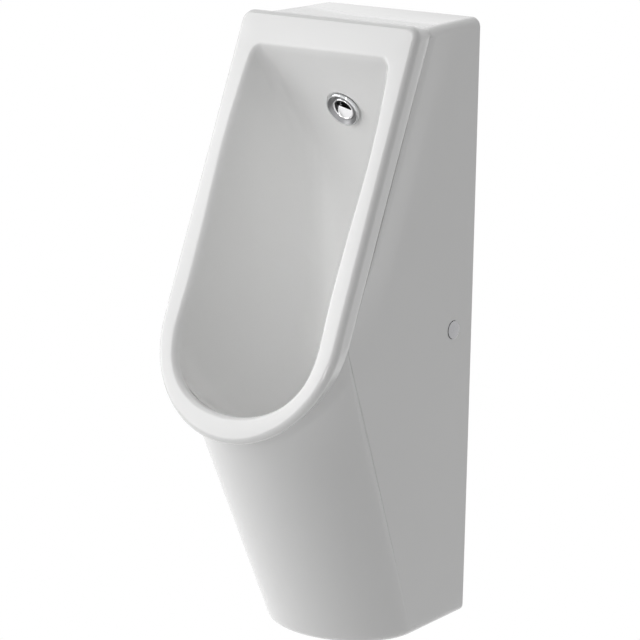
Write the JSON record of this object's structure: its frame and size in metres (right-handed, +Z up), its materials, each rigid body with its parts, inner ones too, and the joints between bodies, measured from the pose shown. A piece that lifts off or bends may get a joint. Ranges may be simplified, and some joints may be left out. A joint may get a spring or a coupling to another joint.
{
  "type": "wall-hung urinal",
  "caption": "Compact wall-hung urinal: tapering glazed shell with a leaning rim frame and deep bowl, chrome spreader, strainer waste, bottle trap and capped side fixings.",
  "frame": {"origin": "on the wall plane, midway between the two slotted wall fixings", "axes": "+Z up, +Y into the wall, -Y towards the user, +X to the right for someone facing the wall"},
  "size_m": [0.2262, 0.3479, 0.6489],
  "materials": {
    "china": "gloss",
    "chrome": "polished",
    "steel": "satin",
    "zinc_steel": "zinc plated",
    "brass": "turned",
    "rubber": "matte",
    "trap_plastic": "satin",
    "nylon": "satin"
  },
  "bodies": {
    "fixture": {"bracket_bush_left": "nylon", "bracket_bush_right": "nylon", "bracket_left": "zinc_steel", "bracket_right": "zinc_steel", "ceramic_body": "china", "inlet_elbow": "trap_plastic", "inlet_seal": "rubber", "nozzle_gasket": "rubber", "nozzle_insert": "chrome", "nozzle_nut": "brass", "nozzle_rosette": "chrome", "nozzle_washer": "rubber", "outlet_nut": "trap_plastic", "outlet_pipe": "trap_plastic", "outlet_seal": "rubber", "trap_head": "trap_plastic", "trap_seal": "rubber", "trap_union_nut": "trap_plastic", "waste_flange": "steel", "waste_gasket": "rubber", "waste_nut": "trap_plastic", "waste_washer": "rubber"},
    "strainer": {"strainer": "steel"},
    "cup_seal": {"trap_cup_seal": "rubber"},
    "cup": {"trap_cup": "trap_plastic"},
    "collar_left": {"screw_collar_left": "nylon"},
    "screw_left": {"side_screw_left": "steel"},
    "cap_left": {"cover_cap_left": "chrome"},
    "collar_right": {"screw_collar_right": "nylon"},
    "screw_right": {"side_screw_right": "steel"},
    "cap_right": {"cover_cap_right": "chrome"}
  },
  "joints": [
    {"name": "strainer_lift", "type": "slide", "parent": "fixture", "child": "strainer", "axis": [0, 0, 1], "range_m": [0, 0.06]},
    {"name": "cup_seal_drop", "type": "slide", "parent": "fixture", "child": "cup_seal", "axis": [0, 0, -1], "range_m": [0, 0.014]},
    {"name": "cup_turn", "type": "hinge", "parent": "cup_seal", "child": "cup", "pos_m": [0, -0.092, -0.281], "axis": [0, 0, -1], "range_deg": [0, 1260]},
    {"name": "collar_left_slide", "type": "slide", "parent": "fixture", "child": "collar_left", "axis": [-1, 0, 0], "range_m": [0, 0.006]},
    {"name": "screw_left_turn", "type": "hinge", "parent": "collar_left", "child": "screw_left", "pos_m": [-0.09314, -0.035, 0], "axis": [-1, 0, 0], "range_deg": [0, 2160]},
    {"name": "cap_left_pull", "type": "slide", "parent": "collar_left", "child": "cap_left", "axis": [-1, 0, 0], "range_m": [0, 0.012]},
    {"name": "collar_right_slide", "type": "slide", "parent": "fixture", "child": "collar_right", "axis": [1, 0, 0], "range_m": [0, 0.006]},
    {"name": "screw_right_turn", "type": "hinge", "parent": "collar_right", "child": "screw_right", "pos_m": [0.09314, -0.035, 0], "axis": [1, 0, 0], "range_deg": [0, 2160]},
    {"name": "cap_right_pull", "type": "slide", "parent": "collar_right", "child": "cap_right", "axis": [1, 0, 0], "range_m": [0, 0.012]}
  ],
  "couplings": [
    {"joint": "cup_seal_drop", "follows": "cup_turn", "m_per_rad": 0.00063662},
    {"joint": "screw_left_turn", "follows": "collar_left_slide", "rad_per_m": 6283.2},
    {"joint": "screw_right_turn", "follows": "collar_right_slide", "rad_per_m": 6283.2}
  ]
}
